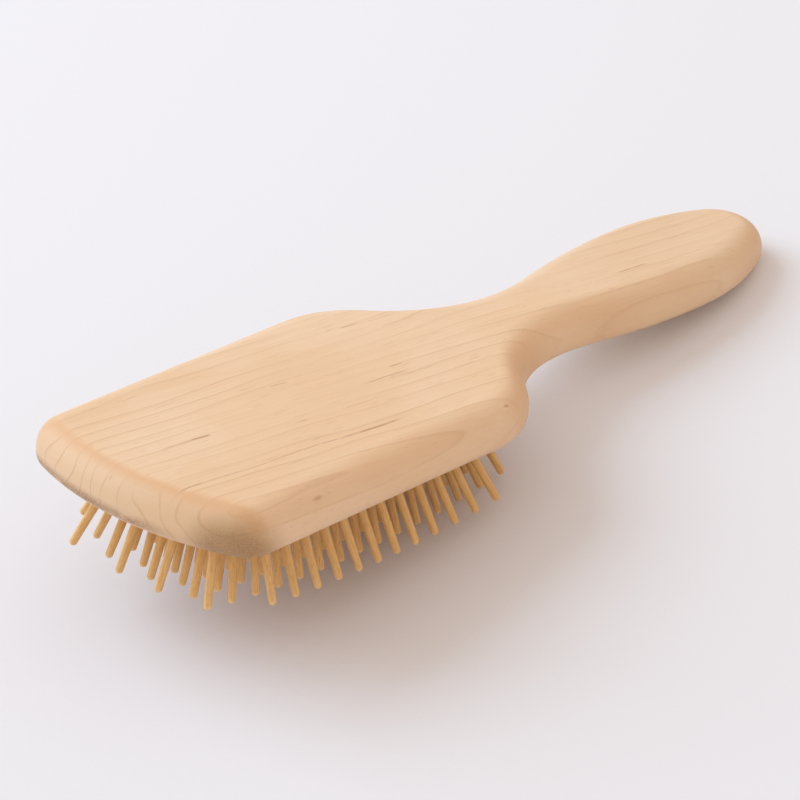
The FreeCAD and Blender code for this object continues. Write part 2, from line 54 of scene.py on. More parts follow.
backFace = next(m for m in frame["record"]["mounts"] if m["name"] == "flat_back")
leanAngle = math.atan2(backFace["axis"][0], backFace["axis"][2])
turn = Matrix.Rotation(leanAngle, 4, "Y")
backCentre = Vector((brush["cushionMiddle"] * mm, 0, brush["thickness"] * mm))
brushToRoom = Matrix.Translation(Vector(backFace["pos_m"]) - turn @ backCentre) @ turn


def addMesh(name, points, faces):
    mesh = bpy.data.meshes.new(name)
    mesh.from_pydata([tuple(p) for p in points], [], faces)
    mesh.update()
    obj = bpy.data.objects.new(name, mesh)
    bpy.context.collection.objects.link(obj)
    return obj


def shadeSmooth(mesh, angle):
    mesh.polygons.foreach_set("use_smooth", [True] * len(mesh.polygons))
    mesh.set_sharp_from_angle(angle=math.radians(angle))


# adds nodes to one tree and links them as they are made
class Nodes:
    def __init__(self, tree):
        self.tree = tree

    def put(self, kind, inputs=None, **settings):
        node = self.tree.nodes.new(kind)
        for key, value in settings.items():
            setattr(node, key, value)
        for key, value in (inputs or {}).items():
            socket = node.inputs[key]
            if isinstance(value, bpy.types.NodeSocket):
                self.tree.links.new(value, socket)
            else:
                socket.default_value = value
        return node

    def math(self, operation, *values, clamp=False):
        node = self.put("ShaderNodeMath", dict(enumerate(values)), operation=operation, use_clamp=clamp)
        return node.outputs[0]

    def vector(self, operation, *values):
        node = self.put("ShaderNodeVectorMath", dict(enumerate(values)), operation=operation)
        return node.outputs["Value" if operation in ("LENGTH", "DOT_PRODUCT") else 0]

    def scaled(self, vector, x, y, z):
        return self.vector("MULTIPLY", vector, (x, y, z))

    def sized(self, vector, scale):
        return self.put("ShaderNodeVectorMath", {0: vector, "Scale": scale}, operation="SCALE").outputs[0]

    def times(self, first, second):
        return self.math("MULTIPLY", first, second)

    def parts(self, vector):
        return self.put("ShaderNodeSeparateXYZ", {0: vector}).outputs

    def ramp(self, value, low, high, lowTo=0.0, highTo=1.0, smooth=True):
        node = self.put(
            "ShaderNodeMapRange",
            {"Value": value, "From Min": low, "From Max": high, "To Min": lowTo, "To Max": highTo},
            interpolation_type="SMOOTHSTEP" if smooth else "LINEAR",
        )
        return node.outputs[0]

    def noise(self, vector, scale, detail=2.0, roughness=0.5):
        node = self.put(
            "ShaderNodeTexNoise",
            {"Vector": vector, "Scale": scale, "Detail": detail, "Roughness": roughness},
        )
        return node.outputs["Fac"]

    def mix(self, factor, first, second):
        node = self.put("ShaderNodeMix", data_type="RGBA", blend_type="MIX")
        for index, value in ((0, factor), (6, first), (7, second)):
            if isinstance(value, bpy.types.NodeSocket):
                self.tree.links.new(value, node.inputs[index])
            else:
                node.inputs[index].default_value = value if index == 0 else (*value, 1.0)
        return node.outputs[2]

    def group(self, tree, **inputs):
        return self.put("ShaderNodeGroup", inputs, node_tree=tree).outputs

    def handled(self, place, look):
        return self.group(
            handledSurface, Place=place, Roughness=look["roughness"], Unevenness=look["unevenness"]
        )

    def finish(self, shader, colour, roughness, height, depth, strength):
        bump = self.put("ShaderNodeBump", {"Height": height, "Strength": strength, "Distance": depth})
        self.tree.links.new(colour, shader.inputs["Base Color"])
        self.tree.links.new(roughness, shader.inputs["Roughness"])
        self.tree.links.new(bump.outputs[0], shader.inputs["Normal"])


def newGroup(name, inputs, outputs):
    tree = bpy.data.node_groups.new(name, "ShaderNodeTree")
    for title, kind, value in inputs:
        socket = tree.interface.new_socket(title, in_out="INPUT", socket_type=kind)
        if value is not None:
            socket.default_value = value
    for title, kind in outputs:
        tree.interface.new_socket(title, in_out="OUTPUT", socket_type=kind)
    nodes = Nodes(tree)
    entry = tree.nodes.new("NodeGroupInput").outputs
    leave = tree.nodes.new("NodeGroupOutput").inputs
    return nodes, entry, leave


def newMaterial(name, shine):
    material = bpy.data.materials.new(name)
    material.use_nodes = True
    nodes = Nodes(material.node_tree)
    shader = material.node_tree.nodes["Principled BSDF"]
    shader.inputs["Specular IOR Level"].default_value = shine
    return material, nodes, shader


def dress(obj, *materials):
    obj.data.materials.clear()
    for material in materials:
        obj.data.materials.append(material)


# wood fibre: long thin streaks and short open pores along x, in millimetres
def makeFibreGroup():
    nodes, entry, leave = newGroup(
        "woodFibre",
        [("Place", "NodeSocketVector", None), ("Stretch", "NodeSocketFloat", 40.0),
         ("Fineness", "NodeSocketFloat", 1.0), ("Pore Share", "NodeSocketFloat", 0.3)],
        [("Streaks", "NodeSocketFloat"), ("Pores", "NodeSocketFloat"), ("Height", "NodeSocketFloat")],
    )
    squeeze = nodes.math("DIVIDE", 1.0, entry["Stretch"])
    apart = nodes.parts(entry["Place"])
    along = nodes.times(apart[0], squeeze)
    place = nodes.put("ShaderNodeCombineXYZ", {0: along, 1: apart[1], 2: apart[2]}).outputs[0]
    fine = nodes.sized(place, entry["Fineness"])
    streaks = nodes.noise(fine, 1.3, 4.0, 0.62)
    cells = nodes.noise(nodes.vector("ADD", fine, (31.0, 7.0, 19.0)), 3.1, 1.0, 0.5)
    edge = nodes.math("SUBTRACT", 0.78, nodes.times(entry["Pore Share"], 0.3))
    pores = nodes.ramp(nodes.math("SUBTRACT", cells, edge), 0.0, 0.06)
    nodes.tree.links.new(streaks, leave["Streaks"])
    nodes.tree.links.new(pores, leave["Pores"])
    height = nodes.math("SUBTRACT", streaks, nodes.times(pores, 0.6))
    nodes.tree.links.new(height, leave["Height"])
    return nodes.tree


# handling: uneven gloss and faint smudges, for every finish
def makeHandledGroup():
    nodes, entry, leave = newGroup(
        "handledSurface",
        [("Place", "NodeSocketVector", None), ("Roughness", "NodeSocketFloat", 0.5),
         ("Unevenness", "NodeSocketFloat", 0.1)],
        [("Roughness", "NodeSocketFloat"), ("Smudge", "NodeSocketFloat")],
    )
    broad = nodes.noise(entry["Place"], 0.045, 3.0, 0.6)
    fine = nodes.noise(entry["Place"], 0.9, 2.0, 0.5)
    both = nodes.math("ADD", nodes.times(broad, 0.7), nodes.times(fine, 0.3))
    swing = nodes.times(nodes.math("SUBTRACT", both, 0.5), entry["Unevenness"])
    rough = nodes.math("ADD", entry["Roughness"], nodes.times(swing, 2.0), clamp=True)
    nodes.tree.links.new(rough, leave["Roughness"])
    nodes.tree.links.new(nodes.ramp(broad, 0.42, 0.68), leave["Smudge"])
    return nodes.tree


woodFibre = makeFibreGroup()
handledSurface = makeHandledGroup()


def brushPlace(nodes):
    # object coordinates turned into the flat brush's own millimetres
    coordinates = nodes.put("ShaderNodeTexCoord").outputs
    place = nodes.put("ShaderNodeMapping", {"Vector": coordinates["Object"]}, vector_type="TEXTURE")
    place.inputs["Location"].default_value = brushToRoom.translation
    place.inputs["Rotation"].default_value = (0, leanAngle, 0)
    place.inputs["Scale"].default_value = (mm, mm, mm)
    facing = nodes.put("ShaderNodeMapping", {"Vector": coordinates["Normal"]}, vector_type="TEXTURE")
    facing.inputs["Rotation"].default_value = (0, leanAngle, 0)
    return place.outputs[0], facing.outputs[0]


# places are in the flat brush's millimetres, the rings' and streaks' along the grain instead,
# and each shade is how far a tone is mixed in
maple = dict(
    pale=(0.93, 0.705, 0.505),
    warm=(0.885, 0.63, 0.415),
    honey=(0.78, 0.51, 0.285),
    mineral=(0.36, 0.135, 0.07),
    roughness=0.46,
    unevenness=0.16,
    shine=0.42,
    bumpDepth=0.00006,
    # degrees from the brush's length to the grain
    grainTurn=8.0,
    fibreStretch=26.0,
    poreShare=0.26,
    fibreShade=0.34,
    poreShade=0.34,
    # growth rings
    ringLine=(0.50, 0.27, 0.14),
    ringCentre=(0.0, -31.0, 15.0),
    ringTaper=0.02,
    ringGap=5.2,
    ringSway=12.0,
    ringUnevenness=9.0,
    ringShade=0.22,
    lineShade=0.24,
    # mineral streaks on the back: from, to, side, half width and strength
    streaks=[(6.0, 78.0, -14.9, 0.42, 0.55), (54.0, 77.0, -15.0, 0.6, 1.0), (4.0, 16.0, -14.9, 0.5, 0.8),
             (17.0, 33.0, 5.0, 0.42, 0.5), (26.0, 32.5, 5.1, 0.55, 0.9), (80.0, 96.0, 5.6, 0.4, 0.6),
             (92.0, 97.0, 9.6, 0.45, 0.7), (96.0, 104.0, 34.9, 0.4, 0.7), (60.0, 66.0, 17.5, 0.35, 0.6),
             (178.0, 190.0, 20.4, 0.5, 0.85), (66.0, 78.0, -2.6, 0.3, 0.45)],
    streakWander=2.2,
    # small brown flecks: along, across, up, length and width
    flecks=[(6.5, -29.0, 12.3, 1.2, 0.6), (31.0, -37.4, 10.6, 2.4, 0.55), (100.5, -36.0, 11.4, 1.3, 0.5),
            (131.5, -18.5, 10.5, 1.0, 0.6), (119.0, -23.5, 10.8, 1.2, 0.5), (2.2, 3.4, 10.4, 1.0, 0.5)],
    fleckDepth=2.0,
    markShade=0.75,
    # the front, where the grain is cut across, and the edges that turn towards it
    amber=(0.75, 0.455, 0.245),
    endLight=(0.71, 0.505, 0.32),
    reflectionDark=(0.34, 0.18, 0.08),
    turnShade=0.85,
    # how far the long sides are darkened towards honey: painted shade
    paintedSideShade=0.38,
    endShade=0.7,
    # the dark band low on the front is a painted dark reflection: from nothing to full and back, and where it
    # fades across
    bandRise=(0.9, 2.2),
    bandFall=(2.8, 5.4),
    bandFade=(-22.0, -4.0),
    brownCorner=(5.5, -33.5, 1.0),
    cornerSize=(13.0, 11.5, 9.5),
    cornerBrown=(0.36, 0.20, 0.08),
    grip=(0.72, 0.50, 0.31),
    gripFrom=135.0,
    gripTo=195.0,
    gripShade=0.25,
)


def growthRings(nodes, grain):
    # cones round a pith that lies just off the back, near one long edge
    sway = nodes.noise(nodes.scaled(grain, 0.25, 1.0, 1.0), 0.045, 2.0, 0.5)
    swayed = nodes.times(nodes.math("SUBTRACT", sway, 0.5), maple["ringSway"])
    fromPith = nodes.vector("SUBTRACT", grain, maple["ringCentre"])
    across = nodes.vector("LENGTH", nodes.scaled(fromPith, maple["ringTaper"], 1.0, 1.0))
    # wet and dry years: the rings are not evenly spaced
    years = nodes.noise(nodes.scaled(grain, 0.05, 1.0, 1.0), 0.055, 1.0)
    yearSwing = nodes.times(nodes.math("SUBTRACT", years, 0.5), maple["ringUnevenness"])
    uneven = nodes.math("ADD", nodes.math("ADD", across, swayed), yearSwing)
    year = nodes.math("FRACT", nodes.math("DIVIDE", uneven, maple["ringGap"]))
    late = nodes.times(nodes.ramp(year, 0.25, 0.92), nodes.ramp(year, 0.92, 1.0, 1.0, 0.0))
    line = nodes.times(nodes.ramp(year, 0.80, 0.93), nodes.ramp(year, 0.93, 0.99, 1.0, 0.0))
    patches = nodes.noise(nodes.scaled(grain, 0.3, 1.0, 1.0), 0.06, 2.0)
    strength = nodes.ramp(patches, 0.35, 0.65, 0.15, 1.0)
    return nodes.times(late, strength), nodes.times(line, strength)


def mineralMarks(nodes, place, grain):
    drift = nodes.noise(nodes.scaled(grain, 1.0, 0.3, 0.3), 0.05, 2.0)
    wander = nodes.times(nodes.math("SUBTRACT", drift, 0.5), maple["streakWander"])
    grainPlace = nodes.parts(grain)
    acrossGrain = nodes.math("ADD", grainPlace[1], wander)
    broken = nodes.ramp(nodes.noise(nodes.scaled(grain, 1.0, 4.0, 4.0), 0.22, 2.0), 0.32, 0.52, 0.3, 1.0)
    marks = 0.0
    for start, end, side, width, strength in maple["streaks"]:
        middle, half = (start + end) / 2, (end - start) / 2
        alongShare = nodes.math("DIVIDE", nodes.math("SUBTRACT", grainPlace[0], middle), half)
        alongMask = nodes.ramp(nodes.math("ABSOLUTE", alongShare), 0.55, 1.0, strength, 0.0)
        offLine = nodes.math("ABSOLUTE", nodes.math("SUBTRACT", acrossGrain, side))
        sideMask = nodes.ramp(offLine, 0.0, width, 1.0, 0.0)
        marks = nodes.math("MAXIMUM", nodes.times(alongMask, sideMask), marks)
    # the streaks stay on the back and its rounded edge
    onBack = nodes.ramp(nodes.parts(place)[2], 8.0, 12.0)
    marks = nodes.times(nodes.times(marks, broken), onBack)
    for along, side, up, length, width in maple["flecks"]:
        offset = nodes.vector("SUBTRACT", place, (along, side, up))
        reach = nodes.vector("LENGTH", nodes.scaled(offset, 1 / length, 1 / width, 1 / maple["fleckDepth"]))
        marks = nodes.math("MAXIMUM", nodes.ramp(reach, 0.3, 1.0, 0.8, 0.0), marks)
    return marks


def frontTone(nodes, colour, place, facing, rings, ringLines, speckle):
    # where the surface faces along the board the pores are cut across and drink the oil
    apart, facings = nodes.parts(place), nodes.parts(facing)
    facingAlong = nodes.math("ABSOLUTE", facings[0])
    facingAcross = nodes.math("ABSOLUTE", facings[1])
    endGrain = nodes.ramp(facingAlong, 0.35, 0.85)
    turning = nodes.times(nodes.ramp(facingAlong, 0.04, 0.42), nodes.ramp(facingAlong, 0.5, 1.0, 1.0, 0.0))
    colour = nodes.mix(nodes.times(turning, maple["turnShade"]), colour, maple["amber"])
    # the long sides are mixed towards honey: painted shade on the sides
    sides = nodes.ramp(facingAcross, 0.2, 0.9, 0.0, maple["paintedSideShade"])
    colour = nodes.mix(sides, colour, maple["honey"])

    endColour = nodes.mix(nodes.ramp(speckle, 0.42, 0.62, 0.0, 0.55), maple["endLight"], maple["honey"])
    endColour = nodes.mix(nodes.times(rings, 0.3), endColour, maple["honey"])
    endColour = nodes.mix(nodes.times(ringLines, 0.55), endColour, maple["ringLine"])
    colour = nodes.mix(nodes.times(endGrain, maple["endShade"]), colour, endColour)

    # a band low on the front end grain is darkened, broken up by blotches and speckle: a painted dark
    # reflection
    blotch = nodes.noise(nodes.scaled(place, 1.0, 0.5, 1.0), 0.16, 3.0, 0.6)
    rise = nodes.ramp(apart[2], *maple["bandRise"])
    band = nodes.times(rise, nodes.ramp(apart[2], *maple["bandFall"], 1.0, 0.0))
    band = nodes.times(band, nodes.ramp(apart[1], *maple["bandFade"], 0.12, 1.0))
    bandReflection = nodes.times(nodes.times(band, endGrain), nodes.ramp(blotch, 0.3, 0.56))
    paintedBandReflection = nodes.times(bandReflection, nodes.ramp(speckle, 0.38, 0.6, 0.45, 1.0))
    colour = nodes.mix(paintedBandReflection, colour, maple["reflectionDark"])

    # one front corner, low on the near side, is browner and speckled
    fromCorner = nodes.vector("SUBTRACT", place, maple["brownCorner"])
    shrunk = nodes.scaled(fromCorner, *(1 / size for size in maple["cornerSize"]))
    corner = nodes.ramp(nodes.vector("LENGTH", shrunk), 0.45, 1.35, 1.0, 0.0)
    corner = nodes.times(corner, nodes.ramp(speckle, 0.3, 0.65, 0.7, 1.0))
    return nodes.mix(corner, colour, maple["cornerBrown"]), endGrain


def makeMaple():
    material, nodes, shader = newMaterial("oiledMaple", maple["shine"])
    place, facing = brushPlace(nodes)
    # the board was sawn a little off the grain, so the grain drifts across the brush
    turned = nodes.put("ShaderNodeMapping", {"Vector": place})
    turned.inputs["Rotation"].default_value = (0, 0, math.radians(maple["grainTurn"]))
    grain = turned.outputs[0]
    rings, ringLines = growthRings(nodes, grain)
    fibre = nodes.group(
        woodFibre, Place=grain, Stretch=maple["fibreStretch"], Fineness=1.0,
        **{"Pore Share": maple["poreShare"]},
    )
    speckle = nodes.noise(place, 2.6, 3.0, 0.7)

    colour = nodes.mix(nodes.ramp(nodes.noise(place, 0.022, 2.0), 0.35, 0.7), maple["pale"], maple["warm"])
    colour = nodes.mix(nodes.times(rings, maple["ringShade"]), colour, maple["honey"])
    colour = nodes.mix(nodes.times(ringLines, maple["lineShade"]), colour, maple["ringLine"])
    streaky = nodes.ramp(fibre["Streaks"], 0.35, 0.75, 0.0, maple["fibreShade"])
    colour = nodes.mix(streaky, colour, maple["honey"])
    colour = nodes.mix(nodes.times(fibre["Pores"], maple["poreShade"]), colour, maple["mineral"])
    marks = mineralMarks(nodes, place, grain)
    colour = nodes.mix(nodes.times(marks, maple["markShade"]), colour, maple["mineral"])
    colour, endGrain = frontTone(nodes, colour, place, facing, rings, ringLines, speckle)
    # the wood is darker along the handle
    along = nodes.parts(place)[0]
    towardsHandle = nodes.ramp(along, maple["gripFrom"], maple["gripTo"], 0.0, maple["gripShade"])
    colour = nodes.mix(towardsHandle, colour, maple["grip"])

    handled = nodes.handled(place, maple)
    colour = nodes.mix(nodes.times(handled["Smudge"], 0.10), colour, maple["warm"])
    rough = nodes.math("ADD", handled["Roughness"], nodes.times(fibre["Pores"], 0.15))
    height = nodes.math("SUBTRACT", fibre["Height"], nodes.times(speckle, endGrain))
    nodes.finish(shader, colour, rough, height, maple["bumpDepth"], 0.5)
    return material


pinWood = dict(
    light=(0.87, 0.575, 0.25),
    middle=(0.73, 0.43, 0.14),
    dark=(0.50, 0.25, 0.07),
    tipLight=(0.90, 0.66, 0.40),
    roughness=0.42,
    unevenness=0.14,
    shine=0.45,
    bumpDepth=0.00005,
    fibreStretch=9.0,
    fibreFineness=1.35,
    poreShare=0.5,
    stickShift=60.0,
    # where the pale sanded tip fades out, in millimetres from the rubber's surface
    tipEnd=-17.3,
    tipStart=-15.9,
)


def makePinWood():
    material, nodes, shader = newMaterial("oiledPinWood", pinWood["shine"])
    own = nodes.put("ShaderNodeAttribute", attribute_name="pinPlace").outputs["Vector"]
    shade = nodes.put("ShaderNodeAttribute", attribute_name="pinShade").outputs["Fac"]
    apart = nodes.parts(own)
    # the grain runs down the pin, and each pin is cut from another piece of the stick
    shift = nodes.times(shade, pinWood["stickShift"])
    place = nodes.put(
        "ShaderNodeCombineXYZ",
        {0: apart[2], 1: nodes.math("ADD", apart[0], shift), 2: nodes.math("ADD", apart[1], shift)},
    ).outputs[0]
    fibre = nodes.group(
        woodFibre, Place=place, Stretch=pinWood["fibreStretch"], Fineness=pinWood["fibreFineness"],
        **{"Pore Share": pinWood["poreShare"]},
    )
    colour = nodes.mix(nodes.ramp(fibre["Streaks"], 0.3, 0.7), pinWood["light"], pinWood["middle"])
    colour = nodes.mix(nodes.times(fibre["Pores"], 0.55), colour, pinWood["dark"])
    colour = nodes.mix(nodes.ramp(shade, 0.0, 1.0, 0.0, 0.4, smooth=False), colour, pinWood["middle"])
    tip = nodes.ramp(apart[2], pinWood["tipEnd"], pinWood["tipStart"], 1.0, 0.0)
    colour = nodes.mix(nodes.times(tip, 0.35), colour, pinWood["tipLight"])
    handled = nodes.handled(place, pinWood)
    nodes.finish(shader, colour, handled["Roughness"], fibre["Height"], pinWood["bumpDepth"], 0.5)
    return material


rubber = dict(
    base=(0.50, 0.235, 0.12),
    worn=(0.60, 0.33, 0.19),
    dust=(0.72, 0.55, 0.42),
    roughness=0.62,
    unevenness=0.12,
    shine=0.35,
    bumpDepth=0.00005,
)


def makeRubber():
    material, nodes, shader = newMaterial("naturalRubber", rubber["shine"])
    place = brushPlace(nodes)[0]
    skin = nodes.noise(place, 3.2, 3.0, 0.65)
    cloud = nodes.noise(place, 0.07, 3.0, 0.6)
    colour = nodes.mix(nodes.ramp(cloud, 0.35, 0.7, 0.0, 0.5), rubber["base"], rubber["worn"])
    dusty = nodes.times(nodes.ramp(skin, 0.52, 0.72), nodes.ramp(cloud, 0.4, 0.7, 0.1, 0.4))
    colour = nodes.mix(dusty, colour, rubber["dust"])
    handled = nodes.handled(place, rubber)
    nodes.finish(shader, colour, handled["Roughness"], skin, rubber["bumpDepth"], 0.4)
    return material


mapleMaterial = makeMaple()
pinMaterial = makePinWood()
rubberMaterial = makeRubber()
print("materials made")

woodenBody = frame["nodes"]["wooden_body"]
dress(woodenBody, mapleMaterial)
print("wooden body finished")

# the dome that the cushion and the pins share
dome = dict(crownHeight=5.6, alongRadius=512.5, acrossRadius=173.0)


def domeHeight(along, across):
    reach = dome["alongRadius"] - dome["acrossRadius"] + np.sqrt(dome["acrossRadius"] ** 2 - across**2)
    return dome["alongRadius"] - dome["crownHeight"] - np.sqrt(reach**2 - along**2)


# where the pins stand
pinField = dict(rowsEachSide=14, linesEachSide=4, endMargin=7.2, sideMargin=6.0, overhang=1.04,
                roundness=6.0, splayAlong=25.0, splayAcross=29.0, splayGrowth=2.0)
rowStep = (brush["cushionHalfLength"] - pinField["endMargin"]) / pinField["rowsEachSide"]
lineStep = (brush["cushionHalfWidth"] - pinField["sideMargin"]) / pinField["linesEachSide"]


def linesOfRow(row):
    rows, lines = pinField["rowsEachSide"], pinField["linesEachSide"]

    def kept(line):
        reach = (abs(row) / (pinField["overhang"] * rows)) ** pinField["roundness"]
        reach += (abs(line) / (pinField["overhang"] * lines)) ** pinField["roundness"]
        return (row + line + rows + lines) % 2 == 1 and reach <= 1

    return [line for line in range(-lines, lines + 1) if kept(line)]


pinRows = {row: linesOfRow(row) for row in range(-pinField["rowsEachSide"], pinField["rowsEachSide"] + 1)}

# air cushion
cushion = dict(endRadius=150.0, cornerRadius=17.0, thickness=1.3, edgeRadius=2.6,
               beadOut=1.3, beadFoot=1.9, beadTop=3.9, beadRounding=0.35, beadCut=0.1,
               footOut=0.05, footDrop=0.15, ventRadius=0.75, ventDip=1.1,
               collarHeight=0.42, collarReach=2.4, freeFrom=-0.6, insideTurn=(0.3, 1.2),
               outlinePoints=440, domeRings=74, innerRings=16, edgeRings=8, insideRings=3, crease=50)


def cushionOutline(offset):
    # points of the outline moved inwards by offset, anticlockwise
    halfLength, halfWidth = brush["cushionHalfLength"] - offset, brush["cushionHalfWidth"] - offset
    bow, corner = cushion["endRadius"] - offset, cushion["cornerRadius"] - offset
    cornerY = halfWidth - corner
    inset = math.sqrt((bow - corner) ** 2 - cornerY**2)
    cornerX = halfLength - bow + inset
    slant = math.atan2(cornerY, inset)
    quarter = []
    count = cushion["outlinePoints"] // 4
    lengths = [cushion["endRadius"] * slant, cushion["cornerRadius"] * (math.pi / 2 - slant), cornerX]
    for k in range(count):
        travel = (k + 0.5) / count * sum(lengths)
        if travel < lengths[0]:
            angle = travel / lengths[0] * slant
            quarter.append((halfLength - bow + bow * math.cos(angle), bow * math.sin(angle)))
        elif travel < lengths[0] + lengths[1]:
            angle = slant + (travel - lengths[0]) / lengths[1] * (math.pi / 2 - slant)
            quarter.append((cornerX + corner * math.cos(angle), cornerY + corner * math.sin(angle)))
        else:
            share = (travel - lengths[0] - lengths[1]) / lengths[2]
            quarter.append((cornerX * (1 - share), halfWidth))
    right = np.array(quarter)
    left = right[::-1] * (-1, 1)
    lower = np.vstack([right, left])[::-1] * (1, -1)
    return np.vstack([right, left, lower])


def collars(points):
    # the rubber stands up in a soft ring round each pin, and dips at the breather hole
    rise = np.zeros(len(points))
    for row, lines in pinRows.items():
        for line in lines:
            away = np.hypot(points[:, 0] - row * rowStep, points[:, 1] - line * lineStep)
            rise = np.maximum(rise, cushion["collarHeight"] * np.exp(-((away / cushion["collarReach"]) ** 4)))
    dip = np.hypot(points[:, 0], points[:, 1]) / cushion["ventRadius"]
    return rise - cushion["ventDip"] * np.exp(-(dip**4))


def buildCushion():
    edge, wall = cushion["edgeRadius"], cushion["thickness"]
    outer = cushionOutline(0.0)
    loops = []

    def loop(points, heights):
        loops.append(np.column_stack([points, np.broadcast_to(heights, len(points))]))

    atEdge = cushionOutline(edge)
    rim = domeHeight(atEdge[:, 0], atEdge[:, 1])
    # inside of the sheet, from its middle out to the top of the wall
    innerRim = rim + wall
    for k in range(1, cushion["innerRings"] + 1):
        points = atEdge * (k / cushion["innerRings"])
        loop(points, domeHeight(points[:, 0], points[:, 1]) + wall)
    for angle in np.linspace(*cushion["insideTurn"], cushion["insideRings"]):
        radius = edge - wall
        points = cushionOutline(edge - radius * math.sin(angle))
        loop(points, innerRim + radius * (1 - math.cos(angle)))
    loop(cushionOutline(wall), innerRim + edge - wall)
    loop(cushionOutline(wall), cushion["beadTop"])
    # the bead, with small roundings
    bead, top, foot = -cushion["beadOut"], cushion["beadTop"], cushion["beadFoot"]
    soft, cut = cushion["beadRounding"], cushion["beadCut"]
    loop(cushionOutline(bead + soft), top)
    loop(cushionOutline(bead + cut), top - cut)
    loop(cushionOutline(bead), top - soft)
    loop(cushionOutline(bead), foot + soft)
    loop(cushionOutline(bead + cut), foot + cut)
    loop(cushionOutline(bead + soft), foot)
    loop(cushionOutline(-cushion["footOut"]), foot)
    loop(outer, foot - cushion["footDrop"])
    # wall, rounded edge and dome
    loop(outer, rim + edge)
    for angle in np.linspace(0, math.pi / 2, cushion["edgeRings"] + 1)[1:]:
        loop(cushionOutline(edge * (1 - math.cos(angle))), rim + edge * (1 - math.sin(angle)))
    for k in range(cushion["domeRings"] - 1, 0, -1):
        points = atEdge * (k / cushion["domeRings"])
        loop(points, domeHeight(points[:, 0], points[:, 1]) - collars(points))

    count = len(outer)
    points = np.vstack(loops)
    firstPole, lastPole = len(points), len(points) + 1
    lowest = float(domeHeight(0.0, 0.0))
    points = np.vstack([points, (0, 0, lowest + wall), (0, 0, lowest + cushion["ventDip"])])
    faces = []
    for ring in range(len(loops) - 1):
        here, there = ring * count, (ring + 1) * count
        for k in range(count):
            after = (k + 1) % count
            faces.append((here + k, here + after, there + after, there + k))
    last = (len(loops) - 1) * count
    for k in range(count):
        after = (k + 1) % count
        faces.append((firstPole, after, k))
        faces.append((lastPole, last + k, last + after))
    points[:, 0] += brush["cushionMiddle"]
    obj = addMesh("airCushion", points * mm, faces)
    obj.data.transform(brushToRoom)
    check = bmesh.new()
    check.from_mesh(obj.data)
    bmesh.ops.recalc_face_normals(check, faces=check.faces)
    check.to_mesh(obj.data)
    check.free()
    shadeSmooth(obj.data, cushion["crease"])
    dress(obj, rubberMaterial)
    return obj


airCushion = buildCushion()
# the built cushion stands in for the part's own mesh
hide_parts("air_cushion")
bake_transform(airCushion)
print("air cushion built")

# one pin, turned about z with the rubber's surface at z = 0
pin = dict(length=17.2, rootRadius=1.22, tipRadius=0.98, straight=1.5, headRadius=1.87,
           headHeight=1.5, headGap=1.15, headRounding=0.3, rootRing=0.6,
           sides=20, taperRings=5, tipRings=7, crease=45, seed=11, shadeSeed=500.0)


def buildPin():
    seat = cushion["thickness"] + pin["headGap"]
    top = seat + pin["headHeight"]
    root, tip, length = pin["rootRadius"], pin["tipRadius"], pin["length"]
    head, soft = pin["headRadius"], pin["headRounding"]
    profile = [(head - soft, top), (head, top - soft), (head, seat + soft), (head - soft, seat), (root, seat)]
    profile += [(root, z) for z in (pin["rootRing"], 0.0, -pin["straight"])]
    taper = length - tip - pin["straight"]
    for k in range(1, pin["taperRings"] + 1):
        share = k / pin["taperRings"]
        profile.append((root + (tip - root) * share, -pin["straight"] - taper * share))
    for k in range(1, pin["tipRings"]):
        angle = k / pin["tipRings"] * math.pi / 2
        profile.append((tip * math.cos(angle), -(length - tip) - tip * math.sin(angle)))
    points, faces = [], []
    sides = pin["sides"]
    for radius, z in profile:
        for k in range(sides):
            angle = 2 * math.pi * k / sides
            points.append((radius * math.cos(angle), radius * math.sin(angle), z))
    topPole, tipPole = len(points), len(points) + 1
    points += [(0, 0, top), (0, 0, -length)]
    for ring in range(len(profile) - 1):
        for k in range(sides):
            after = (k + 1) % sides
            low, high = ring * sides, (ring + 1) * sides
            faces.append((low + k, high + k, high + after, low + after))
    last = (len(profile) - 1) * sides
    for k in range(sides):
        after = (k + 1) % sides
        faces.append((topPole, k, after))
        faces.append((tipPole, last + after, last + k))
    mesh = bpy.data.meshes.new("turnedPin")
    mesh.from_pydata([tuple(c * mm for c in p) for p in points], [], faces)
    shadeSmooth(mesh, pin["crease"])
    return mesh


